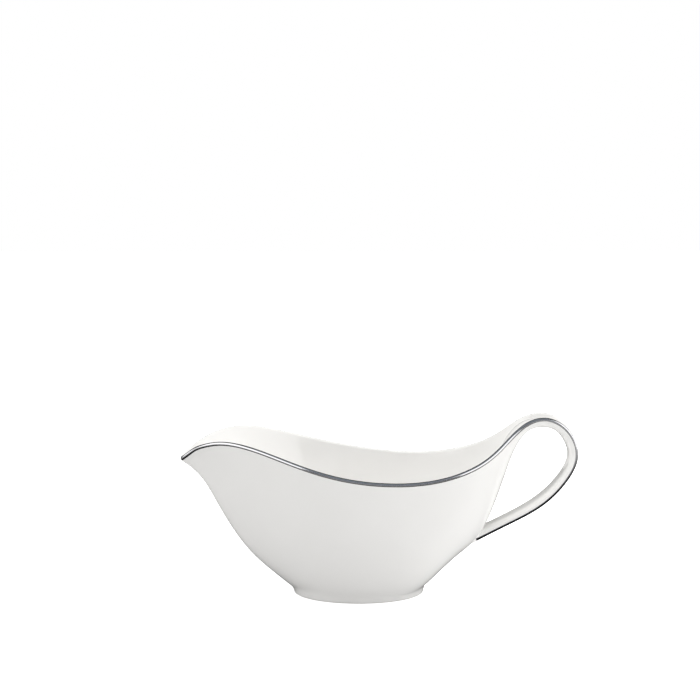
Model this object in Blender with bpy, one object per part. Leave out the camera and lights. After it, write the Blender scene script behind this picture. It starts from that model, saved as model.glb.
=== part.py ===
"""Sauce boat in white glazed porcelain, with a loop handle, an oval foot and a thin platinum line.

The frame has the foot's bottom at z = 0, the spout along -X, the handle along +X, and is
symmetric about the XZ plane. All dimensions below are in millimetres; the meshes are in metres.

The bowl and the handle are one lofted shape. Ribs stand side by side from the spout's tip, along
the bowl and round the handle's loop. Each rib runs from a keel point in the middle plane up to the
rim, and the rim ends in a half-round lip. The platinum covers the outer half of that lip.
"""
import math

import bmesh
import bpy
import numpy as np

MM = 0.001
GAP = 0.3                    # clearance between neighbouring pieces
LIP_RADIUS = 1.3             # half-round lip, so the rim is 2.6 thick
MERGE = 1e-7
LINE_STEPS = 4               # facets round the platinum's quarter of the lip
LIP_STEPS = 3                # facets round the glazed rest of the lip
BOWL_STEPS = 9               # facets up the bowl's wall
BOWL_FLAT_STEPS = 3          # facets across half of its flat underside
HANDLE_STEPS = 5             # facets across the handle's wall
SEARCH_STEPS = 200           # fineness of the search for the underside's edge

BOTTOM_Z = 3.4               # the bowl's flat underside, inside the foot
FLOOR_Z = 6.2                # the bowl's inside floor
FLOOR_SOFTNESS = 2.2         # how gently the wall turns into the floor
FLOOR_REACH = 30             # the turn is only worked out up to this far above the floor
INSIDE_BREADTH = 0.92        # the inside's keel breadth, as a part of the outside's

FOOT_MIDDLE_X = -11.4
FOOT_HALF_LENGTH = 37.4
FOOT_HALF_WIDTH = 26.6
FOOT_SEGMENTS = 72
# The foot's sections, as distances inward from its outside and heights.
RING_SECTION = [(0.0, 3.1), (0.0, 2.5), (0.4, 1.5), (1.0, 0.9), (1.4, 0.7), (2.9, 0.7), (3.4, 1.1), (3.8, 3.1)]
BAND_SECTION = [(1.2, 0.4), (1.3, 0.1), (1.5, 0.0), (2.8, 0.0), (3.0, 0.1), (3.1, 0.4)]

GLAZE = (0.86, 0.855, 0.83)
BISCUIT = (0.8, 0.79, 0.75)
PLATINUM = (0.78, 0.78, 0.79)

# Ribs from the spout's tip to the handle's lower end.
# rim centre x, half width, z | keel x, z | keel half breadth | fullness | flare in degrees | wall
RIBS = np.array([
    (-110.9, 0.0, 78.0, -111.2, 75.9, 0.0, 0.30, 50, 2.2),
    (-104.8, 5.2, 83.2, -106.0, 72.6, 2.0, 0.32, 38, 2.6),
    (-99.0, 10.2, 86.8, -99.0, 65.0, 3.4, 0.35, 30, 3.0),
    (-92.4, 15.2, 89.2, -92.0, 52.9, 5.0, 0.38, 24, 3.2),
    (-78.4, 24.9, 90.4, -76.8, 28.7, 9.5, 0.42, 15, 3.4),
    (-61.4, 33.2, 86.8, -59.4, 11.8, 16.0, 0.48, 11, 3.4),
    (-41.4, 40.6, 80.7, -41.4, -1.0, 23.5, 0.54, 8, 3.4),
    (-19.4, 44.3, 75.2, -19.4, -10.0, 26.5, 0.58, 6, 3.4),
    (4.6, 42.9, 72.1, 0.6, -9.0, 26.0, 0.58, 6, 3.4),
    (28.6, 38.0, 72.4, 22.6, 2.4, 22.5, 0.58, 6, 3.4),
    (46.6, 32.0, 76.1, 42.4, 20.5, 16.0, 0.55, 7, 3.4),
    (58.6, 25.2, 81.0, 56.4, 33.6, 11.0, 0.50, 7, 3.6),
    (68.6, 17.2, 87.9, 66.2, 58.0, 8.0, 0.45, 6, 4.0),
    (77.6, 11.2, 95.7, 73.0, 82.0, 6.0, 0.42, 4, 4.6),
    (85.6, 8.4, 100.3, 82.4, 94.1, 5.5, 0.40, 0, 4.9),
    (94.1, 7.3, 101.3, 92.6, 96.3, 5.5, 0.40, 0, 4.9),
    (105.1, 7.1, 95.3, 101.0, 92.8, 5.5, 0.40, 0, 4.9),
    (110.8, 7.0, 82.0, 106.4, 82.0, 5.5, 0.40, 0, 4.9),
    (104.5, 6.8, 66.1, 102.3, 68.8, 5.3, 0.40, 0, 4.7),
    (91.1, 6.4, 52.4, 89.5, 55.6, 5.0, 0.40, 0, 4.5),
    (73.4, 6.0, 42.1, 72.1, 45.0, 4.8, 0.40, 0, 4.2),
    (49.0, 5.8, 29.4, 48.4, 33.4, 4.8, 0.40, 0, 4.2),
])
NECK_START = 11              # the crown turns from straight up at this rib ...
NECK_END = 14                # ... to the loop's outward direction at this one
CUT_RIB = 13                 # the handle is cast separately and joins the bowl here
TIP_LENGTH = 4.0             # over this length of rim the ribs close up to the spout's tip

LINE_CAP = [tuple(range(LINE_STEPS + 2))]
NEAR = np.array([1.0, 1.0, 1.0])
FAR = np.array([1.0, -1.0, 1.0])
SIDE = np.array([0.0, -1.0, 0.0])


def natural_spline(knots, values, at):
    """Natural cubic spline through the values at the knots."""
    count = len(knots)
    step = np.diff(knots)
    matrix = np.eye(count)
    right = np.zeros_like(values)
    for i in range(1, count - 1):
        matrix[i, i - 1:i + 2] = step[i - 1], 2 * (step[i - 1] + step[i]), step[i]
        right[i] = 6 * ((values[i + 1] - values[i]) / step[i] - (values[i] - values[i - 1]) / step[i - 1])
    bend = np.linalg.solve(matrix, right)
    i = np.clip(np.searchsorted(knots, at, side="right") - 1, 0, count - 2)
    h = step[i][:, None]
    a = (knots[i + 1] - at)[:, None]
    b = (at - knots[i])[:, None]
    cubic = bend[i] * a**3 / (6 * h) + bend[i + 1] * b**3 / (6 * h)
    return cubic + (values[i] / h - bend[i] * h / 6) * a + (values[i + 1] / h - bend[i + 1] * h / 6) * b


def unit(vectors):
    return vectors / np.maximum(np.linalg.norm(vectors, axis=-1, keepdims=True), 1e-12)


RIM = RIBS[:, :3] * FAR
PLACE = np.concatenate([[0.0], np.cumsum(np.linalg.norm(np.diff(RIM, axis=0), axis=1))])
BOTH_PLACES = np.concatenate([-PLACE[:0:-1], PLACE])
BOTH_RIMS = np.concatenate([RIM[:0:-1] * FAR, RIM])


def rim_at(t):
    return natural_spline(BOTH_PLACES, BOTH_RIMS, t)


def ribs_at(t):
    return natural_spline(PLACE, RIBS[:, 3:], t)


def keel_at(t):
    ribs = ribs_at(t)
    return np.stack([ribs[:, 0], np.zeros(len(t)), ribs[:, 1]], axis=1)


class Stations:
    """The rim, the keel and the lip's directions at a list of places along the rim."""

    def __init__(self, t):
        ribs = ribs_at(t)
        self.rim = rim_at(t)
        self.keel = keel_at(t)
        self.breadth = ribs[:, 2:3]
        self.fullness = ribs[:, 3:4]
        self.wall = ribs[:, 5:6]
        self.closing = np.clip(1 - t / TIP_LENGTH, 0, 1)[:, None]**2
        along = unit(rim_at(t + 0.01) - rim_at(t - 0.01))
        outward = self.rim - self.keel
        outward[:, 1] = 0
        blend = np.clip((t - PLACE[NECK_START]) / (PLACE[NECK_END] - PLACE[NECK_START]), 0, 1)[:, None]
        blend = blend * blend * (3 - 2 * blend)
        crown = unit((1 - blend) * np.array([0.0, 0.0, 1.0]) + blend * unit(outward))
        crown = unit(crown - (crown * along).sum(axis=1, keepdims=True) * along)
        side = np.cross(along, crown)
        flare = np.radians(ribs[:, 4:5])
        self.crown = np.cos(flare) * crown + np.sin(flare) * side
        self.side = np.cos(flare) * side - np.sin(flare) * crown
        ahead = unit(keel_at(t + 0.05) - keel_at(t - 0.05))
        self.keel_inward = np.stack([-ahead[:, 2], ahead[:, 1], ahead[:, 0]], axis=1)


def bezier(p0, p1, p2, p3, s):
    """Cubic curves for many ribs at once; s has one row of parameters for each rib."""
    s = s[:, :, None]
    first = (1 - s)**3 * p0[:, None] + 3 * (1 - s)**2 * s * p1[:, None]
    return first + 3 * (1 - s) * s**2 * p2[:, None] + s**3 * p3[:, None]


def rib_curve(stations, foot, breadth, top, s):
    foot = foot + stations.closing * (top - foot)
    breadth = breadth * (1 - stations.closing)
    length = np.linalg.norm(top - foot, axis=1, keepdims=True)
    shoulder = top - stations.fullness * length * stations.crown
    return bezier(foot, foot + breadth * SIDE, shoulder, top, s)


def outer_ribs(stations, steps, flat_steps):
    """Outside of the wall, from the middle of the underside up to the lip."""
    top = stations.rim + LIP_RADIUS * stations.side - GAP / 2 * stations.crown
    fine = np.tile(np.linspace(0, 1, SEARCH_STEPS + 1), (len(top), 1))
    heights = rib_curve(stations, stations.keel, stations.breadth, top, fine)[:, :, 2]
    start = np.array([np.interp(BOTTOM_Z, row[:row.argmax() + 1], line[:row.argmax() + 1])
                      for row, line in zip(heights, fine)])[:, None]
    start[stations.keel[:, 2] >= BOTTOM_Z] = 0
    s = start + (1 - start) * np.linspace(0, 1, steps + 1)
    wall = rib_curve(stations, stations.keel, stations.breadth, top, s)
    middle = wall[:, :1] * np.array([1.0, 0.0, 1.0])
    inset = np.linspace(0, 1, flat_steps + 1)[None, :-1, None]
    return np.concatenate([middle + (wall[:, :1] - middle) * inset, wall], axis=1)


def inner_ribs(stations, steps):
    """Inside of the wall, from the lip down to the middle of the floor."""
    top = stations.rim - LIP_RADIUS * stations.side
    foot = stations.keel + stations.wall * stations.keel_inward
    s = np.tile(np.linspace(1, 0, steps + 1), (len(top), 1))
    wall = rib_curve(stations, foot, INSIDE_BREADTH * stations.breadth, top, s)
    height = wall[:, :, 2] - FLOOR_Z
    lifted = FLOOR_SOFTNESS * np.logaddexp(0, height / FLOOR_SOFTNESS)
    wall[:, :, 2] = FLOOR_Z + np.where(height > FLOOR_REACH, height, lifted)
    return wall


def places(*spans):
    """Rim places from spans of (first rib, last rib, number of steps)."""
    pieces = [np.linspace(PLACE[a], PLACE[b], n, endpoint=False) for a, b, n in spans]
    return np.concatenate(pieces + [[PLACE[spans[-1][1]]]])


def lip_points(stations, across, up):
    """Points beside the rim's line, at distances across the wall and up along the crown."""
    across = np.reshape(across, (1, -1, 1))
    up = np.reshape(up, (1, -1, 1))
    return stations.rim[:, None] + across * stations.side[:, None] + up * stations.crown[:, None]


def lip_ledge(stations):
    """The lip from its outside to its inside: the ledge that the platinum lies on, then the round."""
    start = math.acos(-GAP / LIP_RADIUS)
    angle = np.linspace(start, math.pi, LIP_STEPS + 1)[:-1]
    across = np.append(-GAP, LIP_RADIUS * np.cos(angle))
    up = np.append(-GAP / 2, LIP_RADIUS * np.sin(angle))
    return lip_points(stations, across, up)


def wall_loops(t, steps, flat_steps):
    """Closed sections of the wall: up the near outside, over the lip, down inside, and back."""
    stations = Stations(t)
    sheets = [outer_ribs(stations, steps, flat_steps), lip_ledge(stations), inner_ribs(stations, steps)]
    near = np.concatenate(sheets, axis=1)
    far = near[:, -2:0:-1] * FAR
    return np.concatenate([near, far], axis=1)


def wall_cap(steps, flat_steps):
    """Faces that close the end of a wall section: its lip, and quads between outside and inside."""
    lip = tuple(range(flat_steps + steps, flat_steps + steps + LIP_STEPS + 3))
    last = lip[-1] + steps
    size = 2 * last
    faces = [lip, tuple((size - k) % size for k in lip)]
    for j in range(steps):
        quad = (flat_steps + j, flat_steps + j + 1, last - j - 1, last - j)
        faces.append(quad)
        faces.append(tuple((size - k) % size for k in quad))
    return faces


def line_loops(t):
    """Sections of the platinum: the outer quarter of the lip's round, with its corner inside."""
    stations = Stations(t)
    angle = np.linspace(math.asin(GAP / 2 / LIP_RADIUS), math.pi / 2, LINE_STEPS + 1)
    across = np.append(LIP_RADIUS * np.cos(angle), 0)
    up = np.append(LIP_RADIUS * np.sin(angle), GAP / 2)
    return lip_points(stations, across, up)


def swept_body(name, loops, material, first_cap=(), last_cap=(), joined_ends=False):
    """A closed body through loops of points; a cap lists the faces that fill an open end."""
    bm = bmesh.new()
    rows = [[bm.verts.new(point) for point in loop * MM] for loop in loops]
    following = rows[1:] + rows[:1] if joined_ends else rows[1:]
    for row, after in zip(rows, following):
        for j in range(len(row)):
            bm.faces.new((row[j - 1], row[j], after[j], after[j - 1]))
    for row, cap in ((rows[0], first_cap), (rows[-1], last_cap)):
        for face in cap:
            bm.faces.new([row[j] for j in face])
    bmesh.ops.remove_doubles(bm, verts=bm.verts, dist=MERGE)
    bmesh.ops.recalc_face_normals(bm, faces=bm.faces)
    bmesh.ops.triangulate(bm, faces=bm.faces)
    mesh = bpy.data.meshes.new(name)
    bm.to_mesh(mesh)
    bm.free()
    mesh.shade_smooth()
    body = bpy.data.objects.new(name, mesh)
    bpy.context.scene.collection.objects.link(body)
    if material:
        mesh.materials.append(material)
    return body


def bowl_places():
    t = places((0, 1, 4), (1, 4, 8), (4, 11, 28), (11, CUT_RIB, 8))
    t[-1] -= GAP / 2
    return t


def handle_places():
    t = places((CUT_RIB, 19, 30), (19, 21, 10))
    t[0] += GAP / 2
    return t


def make_bowl(material):
    loops = wall_loops(bowl_places(), BOWL_STEPS, BOWL_FLAT_STEPS)
    return swept_body("bowl_shell", loops, material, last_cap=wall_cap(BOWL_STEPS, BOWL_FLAT_STEPS))


def make_handle(material):
    cap = wall_cap(HANDLE_STEPS, 0)
    return swept_body("handle_strap", wall_loops(handle_places(), HANDLE_STEPS, 0), material, cap, cap)


def make_rim_line(material):
    near = line_loops(bowl_places())
    loops = np.concatenate([near[:0:-1], near * FAR])
    return swept_body("platinum_rim_line", loops, material, LINE_CAP, LINE_CAP)


def make_handle_line(name, mirror, material):
    return swept_body(name, line_loops(handle_places()) * mirror, material, LINE_CAP, LINE_CAP)


def oval_loops(inset_and_height):
    """Sections round the foot's oval; each point is a distance inward and a height."""
    angle = np.linspace(0, 2 * math.pi, FOOT_SEGMENTS, endpoint=False)
    x = FOOT_HALF_LENGTH * np.cos(angle)
    y = FOOT_HALF_WIDTH * np.sin(angle)
    outward = unit(np.stack([np.cos(angle) * FOOT_HALF_WIDTH, np.sin(angle) * FOOT_HALF_LENGTH], axis=1))
    loops = [[(FOOT_MIDDLE_X + px - inset * nx, py - inset * ny, height) for inset, height in inset_and_height]
             for px, py, (nx, ny) in zip(x, y, outward)]
    return np.array(loops)


def make_foot(material):
    return swept_body("foot_ring", oval_loops(RING_SECTION), material, joined_ends=True)


def make_contact_band(material):
    return swept_body("foot_contact_band", oval_loops(BAND_SECTION), material, joined_ends=True)


def make_bowl_clearance():
    """The bowl's outside grown by the gap, filled in, to trim the handle's lower end."""
    t = places((10, 12, 10))
    outer = outer_ribs(Stations(t), BOWL_STEPS, 0)
    beside = outer_ribs(Stations(t + 0.05), BOWL_STEPS, 0)
    normal = np.cross(beside - outer, np.gradient(outer, axis=1))
    normal[:, 0, 1] = 0
    grown = outer + GAP * unit(normal)
    loops = np.concatenate([grown, grown[:, :0:-1] * FAR], axis=1)
    end = [tuple(range(loops.shape[1]))]
    cutter = swept_body("bowl_clearance", loops, None, end, end)
    cutter.hide_render = True
    cutter.display_type = "WIRE"
    return cutter


def trim(body, cutter):
    modifier = body.modifiers.new("trim_to_bowl", "BOOLEAN")
    modifier.operation = "DIFFERENCE"
    modifier.solver = "EXACT"
    modifier.object = cutter


def principled(name, color, metallic, roughness):
    material = bpy.data.materials.new(name)
    material.use_nodes = True
    shader = material.node_tree.nodes["Principled BSDF"]
    shader.inputs["Base Color"].default_value = (*color, 1)
    shader.inputs["Metallic"].default_value = metallic
    shader.inputs["Roughness"].default_value = roughness
    return material


def build():
    for obj in list(bpy.data.objects):
        bpy.data.objects.remove(obj)
    make_bowl(principled("bowl_glaze", GLAZE, 0, 0.12))
    make_foot(principled("foot_glaze", GLAZE, 0, 0.15))
    make_contact_band(principled("biscuit", BISCUIT, 0, 0.7))
    strap = make_handle(principled("handle_glaze", GLAZE, 0, 0.12))
    make_rim_line(principled("rim_platinum", PLATINUM, 1, 0.15))
    left = make_handle_line("platinum_handle_line_left", NEAR, principled("left_platinum", PLATINUM, 1, 0.15))
    right = make_handle_line("platinum_handle_line_right", FAR, principled("right_platinum", PLATINUM, 1, 0.15))
    cutter = make_bowl_clearance()
    for body in (strap, left, right):
        trim(body, cutter)


build()
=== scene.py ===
"""The looks of a white porcelain sauce boat with a thin platinum line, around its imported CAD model."""
import math

import bmesh
import bpy
import numpy as np
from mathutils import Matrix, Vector
from mathutils.bvhtree import BVHTree
from mathutils.kdtree import KDTree


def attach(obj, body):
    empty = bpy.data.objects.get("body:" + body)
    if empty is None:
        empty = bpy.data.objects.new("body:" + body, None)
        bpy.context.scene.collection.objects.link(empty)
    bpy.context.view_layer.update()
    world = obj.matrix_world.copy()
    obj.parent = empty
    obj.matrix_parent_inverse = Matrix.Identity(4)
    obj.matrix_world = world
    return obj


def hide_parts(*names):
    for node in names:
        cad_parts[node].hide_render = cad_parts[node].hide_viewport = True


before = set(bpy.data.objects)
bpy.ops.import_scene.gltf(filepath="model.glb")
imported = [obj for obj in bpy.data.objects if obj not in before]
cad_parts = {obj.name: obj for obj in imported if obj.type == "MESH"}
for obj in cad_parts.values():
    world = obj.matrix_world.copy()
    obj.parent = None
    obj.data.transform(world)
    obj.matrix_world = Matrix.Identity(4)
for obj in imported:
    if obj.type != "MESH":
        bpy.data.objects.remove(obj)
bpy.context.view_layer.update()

# Lengths are in millimetres up to the line that makes a mesh, which turns them into metres.
MM = 0.001
LIP_RADIUS = 1.3             # outside of the half-round lip, platinum included
FILM = 0.04                  # how far the platinum stands above the glaze
FILM_DEPTH = 0.25            # how deep the platinum's hidden side lies below its face
FILM_DROP = 0.4              # how far it runs down the outside of the wall, below the half-round
FILM_OVER = math.radians(102)  # how far round the lip it runs, just past the crown
FILM_STOP = 6.5              # it stops this far from the end of the handle's last rib
GLAZE_RADIUS = LIP_RADIUS - FILM
BOTTOM_Z = 3.4               # the bowl's underside, inside the foot
FLOOR_Z = 6.2                # the bowl's inside floor
FLOOR_SOFTNESS = 2.2         # how gently the wall turns into the floor
FLOOR_REACH = 30             # the turn is only worked out up to this far above the floor
INSIDE_BREADTH = 0.92        # the inside's keel breadth, as a part of the outside's
MERGE = 1e-7                 # in metres
RIM_NUDGE = 0.01             # half the step that the rim's direction is measured over ...
KEEL_NUDGE = 0.05            # ... and the keel's
TIP_LENGTH = 4.0             # over this length of rim the ribs close up to the spout's tip

FOOT_MIDDLE_X = -11.4
FOOT_HALF_LENGTH = 37.4
FOOT_HALF_WIDTH = 26.6
FOOT_SEGMENTS = 240
FOOT_LEAN = 0.9              # how much narrower the foot is at the ground than at the bowl
FOOT_FILLET_TOP = 1.6        # the soft corner starts this far above where bowl and foot meet ...
FOOT_FILLET_DROP = 2.2       # ... and ends this far below it
FOOT_SEARCH = (0.3, 6.0)     # heights above the bowl's underside between which the corner is looked for
FOOT_SEARCH_STEPS = 58
RAY_START = 12               # the search for the bowl's outside starts this far inside the foot's oval
FOOT_EDGE_TOP = 0.9          # the foot's lower edge is rounded from this height ...
FOOT_EDGE_CORNER = 0.3       # ... round a corner at this one
FOOT_EDGE_END = (-1.6, 0.28)
# Points of the foot's section and the band's, as outward distances from the oval and heights.
# A rounded edge has its start, its corner and its end.
FOOT_START = (-4.4, 4.2)     # inside the bowl's wall
FOOT_GROOVE = ((-1.7, 0.5), (-2.8, 0.5))
FOOT_INNER_EDGE = ((-2.9, 0.28), (-3.5, 0.3), (-3.75, 1.2))
FOOT_RECESS = ((-3.85, 2.2), (-4.0, 3.37), (-5.2, 3.37))
FOOT_END = (-5.4, 3.46)
BAND_OUTER_EDGE = ((-1.3, 0.45), (-1.3, 0.0), (-1.75, 0.0))
BAND_INNER_EDGE = ((-2.75, 0.0), (-3.2, 0.0), (-3.2, 0.45))
# Heights above the soft corner and depths under the glaze, where the foot dips into the bowl.
FOOT_TUCKS = ((0.6, 1.2), (0.25, 0.06))
HANDLE_FILLET = 5.0          # the handle's lower end starts to widen this far from the bowl ...
HANDLE_FLARE = 1.3           # ... by this much where it reaches the bowl
HIDDEN_DEPTH = 1.4           # how far the handle's end reaches into the bowl's wall
HIDDEN_MARGIN = 0.3          # how much wider it is there, so that no gap shows
HIDDEN_SKIN = 0.05           # how far under the glaze that wider part starts

# Ribs from the spout's tip to the handle's lower end, as in the CAD model.
# rim centre x, half width, z | keel x, z | keel half breadth | fullness | flare in degrees | wall
RIBS = np.array([
    (-110.9, 0.0, 78.0, -111.2, 75.9, 0.0, 0.30, 50, 2.2),
    (-104.8, 5.2, 83.2, -106.0, 72.6, 2.0, 0.32, 38, 2.6),
    (-99.0, 10.2, 86.8, -99.0, 65.0, 3.4, 0.35, 30, 3.0),
    (-92.4, 15.2, 89.2, -92.0, 52.9, 5.0, 0.38, 24, 3.2),
    (-78.4, 24.9, 90.4, -76.8, 28.7, 9.5, 0.42, 15, 3.4),
    (-61.4, 33.2, 86.8, -59.4, 11.8, 16.0, 0.48, 11, 3.4),
    (-41.4, 40.6, 80.7, -41.4, -1.0, 23.5, 0.54, 8, 3.4),
    (-19.4, 44.3, 75.2, -19.4, -10.0, 26.5, 0.58, 6, 3.4),
    (4.6, 42.9, 72.1, 0.6, -9.0, 26.0, 0.58, 6, 3.4),
    (28.6, 38.0, 72.4, 22.6, 2.4, 22.5, 0.58, 6, 3.4),
    (46.6, 32.0, 76.1, 42.4, 20.5, 16.0, 0.55, 7, 3.4),
    (58.6, 25.2, 81.0, 56.4, 33.6, 11.0, 0.50, 7, 3.6),
    (68.6, 17.2, 87.9, 66.2, 58.0, 8.0, 0.45, 6, 4.0),
    (77.6, 11.2, 95.7, 73.0, 82.0, 6.0, 0.42, 4, 4.6),
    (85.6, 8.4, 100.3, 82.4, 94.1, 5.5, 0.40, 0, 4.9),
    (94.1, 7.3, 101.3, 92.6, 96.3, 5.5, 0.40, 0, 4.9),
    (105.1, 7.1, 95.3, 101.0, 92.8, 5.5, 0.40, 0, 4.9),
    (110.8, 7.0, 82.0, 106.4, 82.0, 5.5, 0.40, 0, 4.9),
    (104.5, 6.8, 66.1, 102.3, 68.8, 5.3, 0.40, 0, 4.7),
    (91.1, 6.4, 52.4, 89.5, 55.6, 5.0, 0.40, 0, 4.5),
    (73.4, 6.0, 42.1, 72.1, 45.0, 4.8, 0.40, 0, 4.2),
    (49.0, 5.8, 29.4, 48.4, 33.4, 4.8, 0.40, 0, 4.2),
])
NECK_START = 11              # the crown turns from straight up at this rib ...
NECK_END = 14                # ... to the loop's outward direction at this one
CUT_RIB = 13                 # bowl and handle are separate pieces from here on
LAST_RIB = 21

NEAR = np.array([1.0, 1.0, 1.0])
FAR = np.array([1.0, -1.0, 1.0])
SIDE = np.array([0.0, -1.0, 0.0])
UP = np.array([0.0, 0.0, 1.0])

# How many steps each stretch of a surface is drawn with.
WALL_STEPS = 32
CROWN_STEPS = 16
FLAT_STEPS = 6
TAIL_SAMPLES = 300
APPROACH_STEPS = 26
FILLET_STEPS = 9
FILM_TAIL_STEPS = 60
SEARCH_STEPS = 400

# Colours are linear RGB.
GLAZE_PALE = (0.88, 0.873, 0.86)
GLAZE_DEEP = (0.85, 0.843, 0.828)
BISCUIT_PALE = (0.80, 0.78, 0.73)
BISCUIT_DEEP = (0.70, 0.68, 0.62)
PLATINUM_PALE = (0.66, 0.66, 0.67)
PLATINUM_DEEP = (0.56, 0.56, 0.58)
ROOM_REFLECTED = (0.03, 0.031, 0.034, 1)   # the dim room, as shiny surfaces mirror it
CEILING_GIVES = (1.46, 1.46, 1.45, 1)      # the soft light from its ceiling
FLOOR_COLOR = (0.5, 0.5, 0.5, 1)
FLOOR_DARK = (0.02, 0.02, 0.022, 1)        # the floor under the object, as the platinum mirrors it

# The stage is in metres.
CEILING_RISE = (0.1, 0.9)    # the room gets light between these heights, as parts of straight up
FLOOR_SIZE = 3.0
FLOOR_GLOW = 0.28            # the floor gives light of its own ...
FLOOR_GLOW_RIGHT = 0.68      # ... and more of it on the right ...
GLOW_EDGES = (-0.02, 0.08)   # ... rising between these places along X
FLOOR_WHITE = 0.6            # what it gives to the camera alone, so that it stays white
DARK_NEAR = 0.15             # the mirrored floor is dark up to this distance from the middle ...
DARK_FAR = 0.5               # ... and has its own colour from this one on
AIM = Vector((0.0, 0.0, 0.05))
CAMERA_PLACE = (-0.016336, -1.25, 0.358)
CAMERA_PITCH = 9.893         # degrees below the horizon
CAMERA_LENS = 116.39
CAMERA_SENSOR = 36
WARM = (1.0, 0.995, 0.985)
WHITE = (1.0, 1.0, 1.0)
COOL = (0.84, 0.92, 1.0)
# A gleam is only mirrored in the object, and a fill only lights it.
# name, azimuth, elevation, distance, width, height, radiance, lights, is mirrored, colour
SOFTBOXES = [
    ("left_softbox", -66, 25, 1.2, 1.87, 1.1, 0.76, True, True, WARM),
    ("right_softbox", 80, 16, 1.2, 1.9, 1.3, 0.7, True, True, WARM),
    ("right_fill", 112, 10, 1.2, 1.3, 1.2, 2.0, True, False, WARM),
    ("left_fill", -130, 25, 1.3, 1.4, 1.2, 0.5, True, False, WARM),
    ("left_gleam", -66, 27, 1.25, 1.95, 1.6, 1.0, False, True, WHITE),
    ("right_gleam", 80, 22, 1.25, 1.98, 1.65, 1.0, False, True, WHITE),
    ("front_gleam", 6, 50, 2.4, 2.3, 5.6, 0.27, False, True, COOL),
]


# ---------------------------------------------------------------- the lofted shape

def natural_spline(knots, values, at):
    """Natural cubic spline through the values at the knots."""
    count = len(knots)
    step = np.diff(knots)
    matrix = np.eye(count)
    right = np.zeros_like(values)
    for i in range(1, count - 1):
        matrix[i, i - 1:i + 2] = step[i - 1], 2 * (step[i - 1] + step[i]), step[i]
        right[i] = 6 * ((values[i + 1] - values[i]) / step[i] - (values[i] - values[i - 1]) / step[i - 1])
    bend = np.linalg.solve(matrix, right)
    i = np.clip(np.searchsorted(knots, at, side="right") - 1, 0, count - 2)
    h = step[i][:, None]
    a = (knots[i + 1] - at)[:, None]
    b = (at - knots[i])[:, None]
    cubic = bend[i] * a**3 / (6 * h) + bend[i + 1] * b**3 / (6 * h)
    return cubic + (values[i] / h - bend[i] * h / 6) * a + (values[i + 1] / h - bend[i + 1] * h / 6) * b


def unit(vectors):
    return vectors / np.maximum(np.linalg.norm(vectors, axis=-1, keepdims=True), 1e-12)


RIM = RIBS[:, :3] * FAR
PLACE = np.concatenate([[0.0], np.cumsum(np.linalg.norm(np.diff(RIM, axis=0), axis=1))])
BOTH_PLACES = np.concatenate([-PLACE[:0:-1], PLACE])
BOTH_RIMS = np.concatenate([RIM[:0:-1] * FAR, RIM])


def rim_at(t):
    return natural_spline(BOTH_PLACES, BOTH_RIMS, t)


def ribs_at(t):
    return natural_spline(PLACE, RIBS[:, 3:], t)


def keel_at(t):
    ribs = ribs_at(t)
    return np.stack([ribs[:, 0], np.zeros(len(t)), ribs[:, 1]], axis=1)


class Stations:
    """The rim, the keel and the lip's directions at a list of places along the rim."""

    def __init__(self, t):
        ribs = ribs_at(t)
        self.rim = rim_at(t)
        self.keel = keel_at(t)
        self.breadth = ribs[:, 2:3]
        self.fullness = ribs[:, 3:4]
        self.wall = ribs[:, 5:6]
        self.closing = np.clip(1 - t / TIP_LENGTH, 0, 1)[:, None]**2
        along = unit(rim_at(t + RIM_NUDGE) - rim_at(t - RIM_NUDGE))
        outward = self.rim - self.keel
        outward[:, 1] = 0
        blend = np.clip((t - PLACE[NECK_START]) / (PLACE[NECK_END] - PLACE[NECK_START]), 0, 1)[:, None]
        blend = blend * blend * (3 - 2 * blend)
        crown = unit((1 - blend) * UP + blend * unit(outward))
        crown = unit(crown - (crown * along).sum(axis=1, keepdims=True) * along)
        side = np.cross(along, crown)
        flare = np.radians(ribs[:, 4:5])
        self.crown = np.cos(flare) * crown + np.sin(flare) * side
        self.side = np.cos(flare) * side - np.sin(flare) * crown
        ahead = unit(keel_at(t + KEEL_NUDGE) - keel_at(t - KEEL_NUDGE))
        self.keel_inward = np.stack([-ahead[:, 2], ahead[:, 1], ahead[:, 0]], axis=1)


def bezier(p0, p1, p2, p3, s):
    """Cubic curves for many ribs at once; s has one row of parameters for each rib."""
    s = s[:, :, None]
    first = (1 - s)**3 * p0[:, None] + 3 * (1 - s)**2 * s * p1[:, None]
    return first + 3 * (1 - s) * s**2 * p2[:, None] + s**3 * p3[:, None]


def rib_curve(stations, foot, breadth, top, s):
    foot = foot + stations.closing * (top - foot)
    breadth = breadth * (1 - stations.closing)
    length = np.linalg.norm(top - foot, axis=1, keepdims=True)
    shoulder = top - stations.fullness * length * stations.crown
    return bezier(foot, foot + breadth * SIDE, shoulder, top, s)


def outer_ribs(stations, steps, flat_steps):
    """Outside of the wall, from the middle of the underside up to the lip."""
    top = stations.rim + GLAZE_RADIUS * stations.side
    fine = np.tile(np.linspace(0, 1, SEARCH_STEPS + 1), (len(top), 1))
    heights = rib_curve(stations, stations.keel, stations.breadth, top, fine)[:, :, 2]
    start = np.array([np.interp(BOTTOM_Z, row[:row.argmax() + 1], line[:row.argmax() + 1])
                      for row, line in zip(heights, fine)])[:, None]
    start[stations.keel[:, 2] >= BOTTOM_Z] = 0
    s = start + (1 - start) * np.linspace(0, 1, steps + 1)
    wall = rib_curve(stations, stations.keel, stations.breadth, top, s)
    middle = wall[:, :1] * np.array([1.0, 0.0, 1.0])
    inset = np.linspace(0, 1, flat_steps + 1)[None, :-1, None]
    return np.concatenate([middle + (wall[:, :1] - middle) * inset, wall], axis=1)


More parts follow.
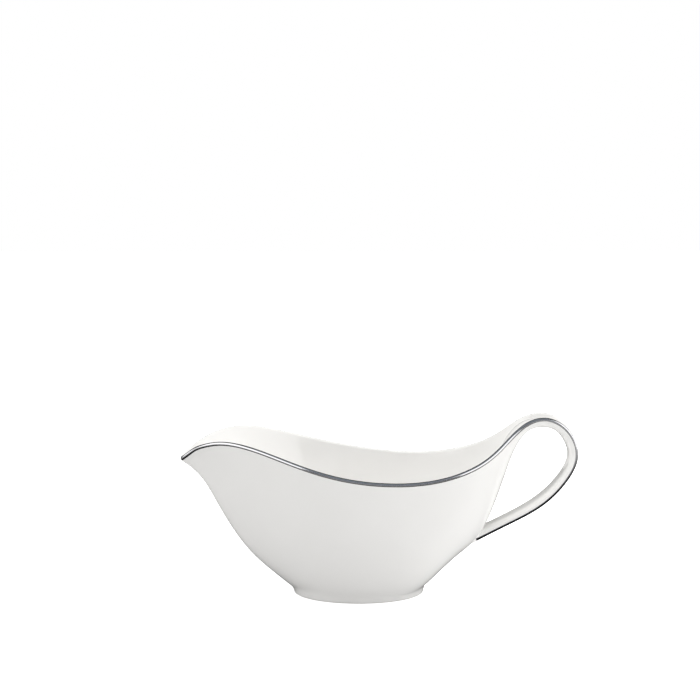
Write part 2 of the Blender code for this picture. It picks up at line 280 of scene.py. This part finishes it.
def inner_ribs(stations, steps):
    """Inside of the wall, from the lip down to the middle of the floor."""
    top = stations.rim - GLAZE_RADIUS * stations.side
    foot = stations.keel + stations.wall * stations.keel_inward
    s = np.tile(np.linspace(1, 0, steps + 1), (len(top), 1))
    wall = rib_curve(stations, foot, INSIDE_BREADTH * stations.breadth, top, s)
    height = wall[:, :, 2] - FLOOR_Z
    lifted = FLOOR_SOFTNESS * np.logaddexp(0, height / FLOOR_SOFTNESS)
    wall[:, :, 2] = FLOOR_Z + np.where(height > FLOOR_REACH, height, lifted)
    return wall


def lip_points(stations, across, up):
    """Points beside the rim's line, at distances across the wall and up along the crown."""
    across = np.reshape(across, (1, -1, 1))
    up = np.reshape(up, (1, -1, 1))
    return stations.rim[:, None] + across * stations.side[:, None] + up * stations.crown[:, None]


def wall_loops(t):
    """Closed sections: up the near outside, over the half-round lip, down inside, and back."""
    stations = Stations(t)
    angle = np.linspace(0, math.pi, CROWN_STEPS + 1)[1:-1]
    crown = lip_points(stations, GLAZE_RADIUS * np.cos(angle), GLAZE_RADIUS * np.sin(angle))
    sheets = [outer_ribs(stations, WALL_STEPS, FLAT_STEPS), crown, inner_ribs(stations, WALL_STEPS)]
    near = np.concatenate(sheets, axis=1)
    return np.concatenate([near, near[:, -2:0:-1] * FAR], axis=1)


def wall_cap():
    """Faces that close the end of a wall section, between its outside and its inside."""
    last = FLAT_STEPS + 2 * WALL_STEPS + CROWN_STEPS
    size = 2 * last
    crown = tuple(range(FLAT_STEPS + WALL_STEPS, FLAT_STEPS + WALL_STEPS + CROWN_STEPS + 1))
    faces = [crown, tuple((size - k) % size for k in crown)]
    for j in range(WALL_STEPS):
        quad = (FLAT_STEPS + j, FLAT_STEPS + j + 1, last - j - 1, last - j)
        faces.append(quad)
        faces.append(tuple((size - k) % size for k in quad))
    return faces


def places(*spans):
    """Rim places from spans of (first rib, last rib, number of steps)."""
    pieces = [np.linspace(PLACE[a], PLACE[b], n, endpoint=False) for a, b, n in spans]
    return np.concatenate(pieces + [[PLACE[spans[-1][1]]]])


BOWL_PLACES = places((0, 1, 20), (1, 4, 40), (4, 11, 130), (11, CUT_RIB, 36))
HANDLE_PLACES = places((CUT_RIB, LAST_RIB - 1, 150))
TAIL_START = PLACE[LAST_RIB - 1]
HULL_BEHIND_HANDLE = (9, CUT_RIB, 120)
HULL_OVER_FOOT = (3, CUT_RIB, 200)


# ---------------------------------------------------------------- meshes

def swept_mesh(name, loops, first_cap=(), last_cap=(), joined_ends=False):
    """A mesh through loops of points; a cap lists the faces that fill an open end."""
    bm = bmesh.new()
    rows = [[bm.verts.new(point) for point in loop * MM] for loop in loops]
    following = rows[1:] + rows[:1] if joined_ends else rows[1:]
    for row, after in zip(rows, following):
        for j in range(len(row)):
            bm.faces.new((row[j - 1], after[j - 1], after[j], row[j]))
    for row, cap in ((rows[0], first_cap), (rows[-1], last_cap)):
        for face in cap:
            bm.faces.new([row[j] for j in face])
    bmesh.ops.remove_doubles(bm, verts=bm.verts, dist=MERGE)
    bmesh.ops.recalc_face_normals(bm, faces=bm.faces)
    mesh = bpy.data.meshes.new(name)
    bm.to_mesh(mesh)
    bm.free()
    mesh.shade_smooth()
    return mesh


def normal_tree(loops):
    """Where the points of an uncut surface are, with the surface's normals there."""
    mesh = swept_mesh("uncut", loops)
    tree = KDTree(len(mesh.vertices))
    for vertex in mesh.vertices:
        tree.insert(vertex.co, vertex.index)
    tree.balance()
    normals = [vertex.normal.copy() for vertex in mesh.vertices]
    bpy.data.meshes.remove(mesh)
    return tree, normals


def take_normals(mesh, uncut):
    """Gives a piece the normals of the uncut surface, so that no seam shows where it was cut."""
    tree, normals = uncut
    wanted = [normals[tree.find(vertex.co)[1]] for vertex in mesh.vertices]
    mesh.normals_split_custom_set_from_vertices(wanted)


def add_piece(name, mesh, material, node):
    """Links a mesh as a visible piece that stands for a CAD node."""
    mesh.materials.append(material)
    piece = bpy.data.objects.new(name, mesh)
    bpy.context.scene.collection.objects.link(piece)
    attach(piece, "root")
    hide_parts(node)
    return piece


# ---------------------------------------------------------------- where pieces grow together

def hull_tree(t):
    """Search tree over the bowl's outside at a list of rim places, with normals facing out."""
    near = outer_ribs(Stations(t), WALL_STEPS, 0)
    grid = np.concatenate([near, near[:, ::-1] * FAR], axis=1)
    rows, columns = grid.shape[:2]
    quads = [(i * columns + j, (i + 1) * columns + j, (i + 1) * columns + j + 1, i * columns + j + 1)
             for i in range(rows - 1) for j in range(columns - 1) if j != columns // 2 - 1]
    return BVHTree.FromPolygons(grid.reshape(-1, 3).tolist(), quads)


def outward_normals(loops):
    """Normals of a closed swept surface at its own points."""
    around = np.roll(loops, -1, axis=1) - np.roll(loops, 1, axis=1)
    return unit(np.cross(np.gradient(loops, axis=0), around))


def measure_from_hull(tree, points):
    """Signed distances of points from the bowl's outside, and the bowl's normals there."""
    distance = np.zeros(points.shape[:2])
    normal = np.zeros(points.shape)
    for index in np.ndindex(points.shape[:2]):
        point = Vector(points[index])
        near, direction, _, away = tree.find_nearest(point)
        distance[index] = math.copysign(away, (point - near).dot(direction))
        normal[index] = direction
    return distance, normal


def fillet_rise(distance):
    """How far a surface moves out at a distance from the bowl, to follow a quarter of an ellipse."""
    left = 1 - np.clip(distance / HANDLE_FILLET, 0, 1)
    return HANDLE_FLARE * (1 - np.sqrt(1 - left**2))


def spread_over(normals, hull_normals):
    """The part of a surface's normals that runs along the bowl's outside."""
    return normals - (normals * hull_normals).sum(axis=-1, keepdims=True) * hull_normals


def handle_end(tree):
    """The handle's last stretch, column by column: down to the bowl, out in a fillet, into the wall.

    Only the near half is worked out, and the far half mirrors it. The handle has no flat underside,
    so the columns of one share the middle column's points.
    """
    t = places((LAST_RIB - 1, LAST_RIB, TAIL_SAMPLES))
    loops = wall_loops(t)
    distance, hull_normal = measure_from_hull(tree, loops)
    spread = spread_over(outward_normals(loops), hull_normal)
    turn = np.linspace(0, math.pi / 2, FILLET_STEPS + 1)
    wanted = HANDLE_FILLET * (1 - np.sin(turn))
    steps = np.arange(len(t))
    columns = []
    for j in range(FLAT_STEPS, loops.shape[1] // 2 + 1):
        towards = np.minimum.accumulate(distance[:, j])
        landing = np.interp(-wanted, -towards, steps)
        approach = np.linspace(0, landing[0], APPROACH_STEPS, endpoint=False)
        at = np.concatenate([approach, landing])
        rise = fillet_rise(np.concatenate([np.full(APPROACH_STEPS, HANDLE_FILLET), wanted]))
        points = np.stack([np.interp(at, steps, loops[:, j, axis]) for axis in range(3)], axis=1)
        out = np.stack([np.interp(at, steps, spread[:, j, axis]) for axis in range(3)], axis=1)
        last = round(landing[-1])
        points += rise[:, None] * out
        edge = points[-1] + HIDDEN_MARGIN * spread[last, j]
        into = hull_normal[last, j]
        columns.append(np.concatenate([points, [edge - HIDDEN_SKIN * into, edge - HIDDEN_DEPTH * into]]))
    near = np.stack(columns, axis=1)
    near[:, [0, -1], 1] = 0
    near = np.concatenate([np.repeat(near[:, :1], FLAT_STEPS, axis=1), near], axis=1)
    return np.concatenate([near, near[:, -2:0:-1] * FAR], axis=1)


# ---------------------------------------------------------------- pieces

def wall_pieces(glaze, tree):
    bowl = wall_loops(BOWL_PLACES)
    handle = np.concatenate([wall_loops(HANDLE_PLACES)[:-1], handle_end(tree)])
    uncut = normal_tree(np.concatenate([bowl, handle[1:]]))
    cap = wall_cap()
    mesh = swept_mesh("bowl", bowl, last_cap=cap)
    take_normals(mesh, uncut)
    add_piece("bowl", mesh, glaze, "bowl_shell")
    mesh = swept_mesh("handle", handle, cap, cap)
    take_normals(mesh, uncut)
    add_piece("handle", mesh, glaze, "handle_strap")


def film_loops(t, tree):
    """Sections of the platinum over the lip's outer half; its two edges dip under the glaze."""
    stations = Stations(t)
    angle = np.linspace(0, FILM_OVER, CROWN_STEPS + 1)
    face = np.full(len(angle), LIP_RADIUS)
    face[-1] -= 2 * FILM
    across = np.concatenate([[LIP_RADIUS - 2 * FILM, LIP_RADIUS, LIP_RADIUS], face * np.cos(angle)])
    height = np.concatenate([[-FILM_DROP - FILM, -FILM_DROP, -FILM_DROP / 2], face * np.sin(angle)])
    outside = lip_points(stations, across, height)
    back = angle[::-2]
    depth = LIP_RADIUS - FILM_DEPTH
    inside = lip_points(stations, depth * np.cos(back), depth * np.sin(back))
    loops = np.concatenate([outside, inside], axis=1)
    landing = t > TAIL_START
    distance, hull_normal = measure_from_hull(tree, loops[landing])
    spread = spread_over(outward_normals(loops[landing]), hull_normal)
    spread[:, outside.shape[1]:] = spread[:, outside.shape[1] // 2, None]
    loops[landing] += fillet_rise(distance)[:, :, None] * spread
    return loops


def platinum_pieces(platinum, tree):
    tail = places((LAST_RIB - 1, LAST_RIB, FILM_TAIL_STEPS))
    t = np.concatenate([BOWL_PLACES, HANDLE_PLACES[1:], tail[1:]])
    near = film_loops(t[t < PLACE[LAST_RIB] - FILM_STOP], tree)
    uncut = normal_tree(np.concatenate([near[:0:-1], near * FAR]))
    cut = len(BOWL_PLACES) - 1
    cap = [tuple(range(near.shape[1]))]
    rim = near[:cut + 1]
    handle = near[cut:]
    mesh = swept_mesh("rim_platinum", np.concatenate([rim[:0:-1], rim * FAR]), cap, cap)
    take_normals(mesh, uncut)
    add_piece("rim_platinum", mesh, platinum, "platinum_rim_line")
    for side, mirror in (("left", NEAR), ("right", FAR)):
        mesh = swept_mesh(f"handle_platinum_{side}", handle * mirror, cap, cap)
        take_normals(mesh, uncut)
        add_piece(f"handle_platinum_{side}", mesh, platinum, f"platinum_handle_line_{side}")


def oval_frame():
    """Points round the foot's oval, with the outward direction at each."""
    angle = 2 * math.pi * (np.arange(FOOT_SEGMENTS) + 0.5) / FOOT_SEGMENTS
    points = np.stack([FOOT_MIDDLE_X + FOOT_HALF_LENGTH * np.cos(angle), FOOT_HALF_WIDTH * np.sin(angle),
                       np.zeros(FOOT_SEGMENTS)], axis=1)
    outward = unit(np.stack([np.cos(angle) * FOOT_HALF_WIDTH, np.sin(angle) * FOOT_HALF_LENGTH,
                             np.zeros(FOOT_SEGMENTS)], axis=1))
    return points, outward


def foot_wall(z):
    """How far outward the foot's leaning outside is at a height."""
    return FOOT_LEAN * (z / BOTTOM_Z - 1)


def curve_between(start, corner, end, steps):
    """Points on a quadratic curve that is tangent to both sides of a corner."""
    s = np.linspace(0, 1, steps + 1)[:, None]
    return (1 - s)**2 * np.array(start) + 2 * s * (1 - s) * np.array(corner) + s**2 * np.array(end)


def foot_section(height, hull):
    """Section of the foot, as outward distances and heights, below the bowl's own profile there.

    It starts inside the bowl's wall, comes out along the bowl and down the soft corner, goes round
    the foot's lower edge and over the groove for the contact band, and ends inside the foot.
    """
    above = hull - foot_wall(height)
    corner = height[0] if above[0] > 0 else np.interp(0, above, height)
    top = corner + FOOT_FILLET_TOP

    def on_hull(z):
        return np.array([np.interp(z, height, hull), z])

    hidden = [FOOT_START] + [on_hull(top + rise) - (depth, 0) for rise, depth in FOOT_TUCKS]
    low = corner - FOOT_FILLET_DROP
    fillet = curve_between(on_hull(top), (foot_wall(corner), corner), (foot_wall(low), low), 8)
    edge_start = (foot_wall(FOOT_EDGE_TOP), FOOT_EDGE_TOP)
    edge_corner = (foot_wall(FOOT_EDGE_TOP / 2), FOOT_EDGE_CORNER)
    edge = curve_between(edge_start, edge_corner, FOOT_EDGE_END, 5)
    inner = curve_between(*FOOT_INNER_EDGE, 4)
    recess = curve_between(*FOOT_RECESS, 6)
    return np.concatenate([hidden, fillet, edge, FOOT_GROOVE, inner, recess, [FOOT_END]])


def foot_pieces(glaze, biscuit, tree):
    points, outward = oval_frame()
    height = BOTTOM_Z + np.linspace(*FOOT_SEARCH, FOOT_SEARCH_STEPS)
    loops = []
    for point, direction in zip(points, outward):
        start = point - RAY_START * direction
        hull = [tree.ray_cast(Vector(start + z * UP), Vector(direction))[3] - RAY_START for z in height]
        section = foot_section(height, np.array(hull))
        loops.append(point + section[:, :1] * direction + section[:, 1:] * UP)
    mesh = swept_mesh("foot", np.array(loops), joined_ends=True)
    add_piece("foot", mesh, glaze, "foot_ring")
    section = np.concatenate([curve_between(*BAND_OUTER_EDGE, 5), curve_between(*BAND_INNER_EDGE, 5)])
    loops = points[:, None] + section[None, :, :1] * outward[:, None] + section[None, :, 1:] * UP
    mesh = swept_mesh("contact_band", loops, joined_ends=True)
    add_piece("contact_band", mesh, biscuit, "foot_contact_band")


# ---------------------------------------------------------------- materials

# Sockets of a Mix node that mixes colours, where several sockets share a name.
COLOR_A = 6
COLOR_B = 7
COLOR_OUT = 2
NOISE_LOW = 0.3
NOISE_HIGH = 0.7


class Surface:
    """A Principled material with short ways to add and join nodes."""

    def __init__(self, name):
        self.material = bpy.data.materials.new(name)
        self.material.use_nodes = True
        self.tree = self.material.node_tree
        self.shader = self.tree.nodes["Principled BSDF"]
        self.place = self.node("ShaderNodeTexCoord").outputs["Object"]

    def node(self, kind, **settings):
        node = self.tree.nodes.new(kind)
        for key, value in settings.items():
            setattr(node, key, value)
        return node

    def join(self, output, target):
        self.tree.links.new(output, target)

    def fix(self, **values):
        for key, value in values.items():
            self.shader.inputs[key.replace("_", " ")].default_value = value

    def noise(self, size, detail=2.0):
        """Noise with features of about this size, in millimetres."""
        noise = self.node("ShaderNodeTexNoise")
        noise.inputs["Scale"].default_value = 1 / (size * MM)
        noise.inputs["Detail"].default_value = detail
        self.join(self.place, noise.inputs["Vector"])
        return noise.outputs["Fac"]

    def tint(self, value, low, high):
        """Runs the base colour between two colours by a noise."""
        mix = self.node("ShaderNodeMix", data_type="RGBA")
        mix.inputs[COLOR_A].default_value = (*low, 1)
        mix.inputs[COLOR_B].default_value = (*high, 1)
        self.join(value, mix.inputs["Factor"])
        self.join(mix.outputs[COLOR_OUT], self.shader.inputs["Base Color"])

    def roughen(self, value, low, high):
        """Runs the roughness between two values by a noise, over the noise's usual range."""
        span = self.node("ShaderNodeMapRange")
        span.inputs["From Min"].default_value = NOISE_LOW
        span.inputs["From Max"].default_value = NOISE_HIGH
        span.inputs["To Min"].default_value = low
        span.inputs["To Max"].default_value = high
        self.join(value, span.inputs["Value"])
        self.join(span.outputs["Result"], self.shader.inputs["Roughness"])

    def bump(self, value, height, after=None):
        """Raises the surface by up to this many millimetres where the value is 1."""
        bump = self.node("ShaderNodeBump")
        bump.inputs["Distance"].default_value = height * MM
        bump.inputs["Strength"].default_value = 1
        self.join(value, bump.inputs["Height"])
        if after:
            self.join(after, bump.inputs["Normal"])
        return bump.outputs["Normal"]


def make_glaze():
    surface = Surface("white_glaze")
    surface.fix(IOR=1.5, Specular_IOR_Level=0.2, Coat_Weight=1.0, Coat_Roughness=0.04, Coat_IOR=1.5)
    surface.tint(surface.noise(size=22), GLAZE_PALE, GLAZE_DEEP)
    surface.roughen(surface.noise(size=5), low=0.3, high=0.4)
    waves = surface.bump(surface.noise(size=9, detail=1.0), height=0.012)
    peel = surface.bump(surface.noise(size=1.2, detail=1.0), height=0.0008, after=waves)
    surface.join(peel, surface.shader.inputs["Normal"])
    surface.join(peel, surface.shader.inputs["Coat Normal"])
    return surface.material


def make_biscuit():
    surface = Surface("unglazed_biscuit")
    surface.fix(IOR=1.5)
    surface.tint(surface.noise(size=0.4, detail=4.0), BISCUIT_PALE, BISCUIT_DEEP)
    surface.roughen(surface.noise(size=0.7), low=0.6, high=0.85)
    grain = surface.bump(surface.noise(size=0.15, detail=3.0), height=0.02)
    surface.join(grain, surface.shader.inputs["Normal"])
    return surface.material


def make_platinum():
    surface = Surface("bright_platinum")
    surface.fix(Metallic=1.0)
    surface.tint(surface.noise(size=2.5, detail=3.0), PLATINUM_PALE, PLATINUM_DEEP)
    surface.roughen(surface.noise(size=0.6, detail=3.0), low=0.05, high=0.16)
    brushwork = surface.bump(surface.noise(size=1.6), height=0.002)
    surface.join(brushwork, surface.shader.inputs["Normal"])
    return surface.material


# ---------------------------------------------------------------- stage

def make_softbox(name, azimuth, elevation, distance, width, height, radiance, lights, is_mirrored, color):
    """A flat soft light aimed at the object. Azimuth 0 is behind the camera and 90 is on its right."""
    a = math.radians(azimuth)
    e = math.radians(elevation)
    towards = Vector((math.sin(a) * math.cos(e), -math.cos(a) * math.cos(e), math.sin(e)))
    data = bpy.data.lights.new(name, "AREA")
    data.shape = "RECTANGLE"
    data.size = width
    data.size_y = height
    data.energy = radiance * math.pi * width * height
    data.color = color
    light = bpy.data.objects.new(name, data)
    light.location = AIM + distance * towards
    light.rotation_euler = towards.to_track_quat("Z", "Y").to_euler()
    light.visible_camera = False
    light.visible_diffuse = lights
    light.visible_glossy = is_mirrored
    bpy.context.scene.collection.objects.link(light)


def make_world():
    """White behind the object as the camera sees it, and a dim room as the object sees it."""
    world = bpy.data.worlds.new("studio")
    bpy.context.scene.world = world
    world.use_nodes = True
    nodes = world.node_tree.nodes
    links = world.node_tree.links
    path = nodes.new("ShaderNodeLightPath")
    seen = nodes["Background"]
    seen.inputs["Color"].default_value = CEILING_GIVES
    place = nodes.new("ShaderNodeTexCoord")
    height = nodes.new("ShaderNodeSeparateXYZ")
    above = nodes.new("ShaderNodeMapRange")
    above.interpolation_type = "SMOOTHSTEP"
    above.inputs["From Min"].default_value = CEILING_RISE[0]
    above.inputs["From Max"].default_value = CEILING_RISE[1]
    links.new(place.outputs["Generated"], height.inputs["Vector"])
    links.new(height.outputs["Z"], above.inputs["Value"])
    links.new(above.outputs["Result"], seen.inputs["Strength"])
    for ray, color in (("Is Glossy Ray", ROOM_REFLECTED), ("Is Camera Ray", (1, 1, 1, 1))):
        other = nodes.new("ShaderNodeBackground")
        other.inputs["Color"].default_value = color
        mix = nodes.new("ShaderNodeMixShader")
        links.new(path.outputs[ray], mix.inputs["Fac"])
        links.new(seen.outputs[0], mix.inputs[1])
        links.new(other.outputs["Background"], mix.inputs[2])
        seen = mix
    links.new(seen.outputs["Shader"], nodes["World Output"].inputs["Surface"])


def make_floor():
    """A plane that glows a little, stays white to the camera, and is dark near the object as mirrored."""
    material = bpy.data.materials.new("white_floor")
    material.use_nodes = True
    nodes = material.node_tree.nodes
    links = material.node_tree.links
    path = nodes.new("ShaderNodeLightPath")
    place = nodes.new("ShaderNodeTexCoord")

    # The colour: dark near the middle, for mirrored rays only.
    shader = nodes["Principled BSDF"]
    shader.inputs["Roughness"].default_value = 0.9
    shader.inputs["Specular IOR Level"].default_value = 0.0
    radius = nodes.new("ShaderNodeVectorMath")
    radius.operation = "LENGTH"
    dark = nodes.new("ShaderNodeMapRange")
    dark.interpolation_type = "SMOOTHSTEP"
    dark.inputs["From Min"].default_value = DARK_FAR
    dark.inputs["From Max"].default_value = DARK_NEAR
    mirrored = nodes.new("ShaderNodeMath")
    mirrored.operation = "MULTIPLY"
    tint = nodes.new("ShaderNodeMix")
    tint.data_type = "RGBA"
    tint.inputs[COLOR_A].default_value = FLOOR_COLOR
    tint.inputs[COLOR_B].default_value = FLOOR_DARK
    links.new(place.outputs["Object"], radius.inputs[0])
    links.new(radius.outputs["Value"], dark.inputs["Value"])
    links.new(dark.outputs["Result"], mirrored.inputs[0])
    links.new(path.outputs["Is Glossy Ray"], mirrored.inputs[1])
    links.new(mirrored.outputs["Value"], tint.inputs["Factor"])
    links.new(tint.outputs[COLOR_OUT], shader.inputs["Base Color"])

    # The glow: stronger on the right, none for mirrored rays, and some more for the camera.
    across = nodes.new("ShaderNodeSeparateXYZ")
    table = nodes.new("ShaderNodeMapRange")
    table.interpolation_type = "SMOOTHSTEP"
    table.inputs["From Min"].default_value = GLOW_EDGES[0]
    table.inputs["From Max"].default_value = GLOW_EDGES[1]
    table.inputs["To Min"].default_value = FLOOR_GLOW
    table.inputs["To Max"].default_value = FLOOR_GLOW_RIGHT
    unmirrored = nodes.new("ShaderNodeMath")
    unmirrored.operation = "SUBTRACT"
    unmirrored.inputs[0].default_value = 1
    lit = nodes.new("ShaderNodeMath")
    lit.operation = "MULTIPLY"
    strength = nodes.new("ShaderNodeMath")
    strength.operation = "MULTIPLY_ADD"
    strength.inputs[1].default_value = FLOOR_WHITE
    glow = nodes.new("ShaderNodeEmission")
    links.new(place.outputs["Object"], across.inputs["Vector"])
    links.new(across.outputs["X"], table.inputs["Value"])
    links.new(path.outputs["Is Glossy Ray"], unmirrored.inputs[1])
    links.new(table.outputs["Result"], lit.inputs[0])
    links.new(unmirrored.outputs["Value"], lit.inputs[1])
    links.new(path.outputs["Is Camera Ray"], strength.inputs[0])
    links.new(lit.outputs["Value"], strength.inputs[2])
    links.new(strength.outputs["Value"], glow.inputs["Strength"])

    both = nodes.new("ShaderNodeAddShader")
    links.new(shader.outputs["BSDF"], both.inputs[0])
    links.new(glow.outputs["Emission"], both.inputs[1])
    links.new(both.outputs["Shader"], nodes["Material Output"].inputs["Surface"])

    mesh = bpy.data.meshes.new("floor")
    half = FLOOR_SIZE / 2
    corners = [(-half, -half, 0), (half, -half, 0), (half, half, 0), (-half, half, 0)]
    mesh.from_pydata(corners, [], [(0, 1, 2, 3)])
    mesh.materials.append(material)
    floor = bpy.data.objects.new("floor", mesh)
    bpy.context.scene.collection.objects.link(floor)


def make_camera():
    data = bpy.data.cameras.new("camera")
    data.sensor_width = CAMERA_SENSOR
    data.lens = CAMERA_LENS
    data.clip_start = 0.05
    data.clip_end = 50
    camera = bpy.data.objects.new("camera", data)
    camera.location = CAMERA_PLACE
    camera.rotation_euler = (math.radians(90 - CAMERA_PITCH), 0, 0)
    bpy.context.scene.collection.objects.link(camera)
    bpy.context.scene.camera = camera


def main():
    bpy.context.scene.view_settings.view_transform = "Standard"
    glaze = make_glaze()
    behind_handle = hull_tree(places(HULL_BEHIND_HANDLE))
    wall_pieces(glaze, behind_handle)
    platinum_pieces(make_platinum(), behind_handle)
    foot_pieces(glaze, make_biscuit(), hull_tree(places(HULL_OVER_FOOT)))
    make_floor()
    make_world()
    for softbox in SOFTBOXES:
        make_softbox(*softbox)
    make_camera()


main()
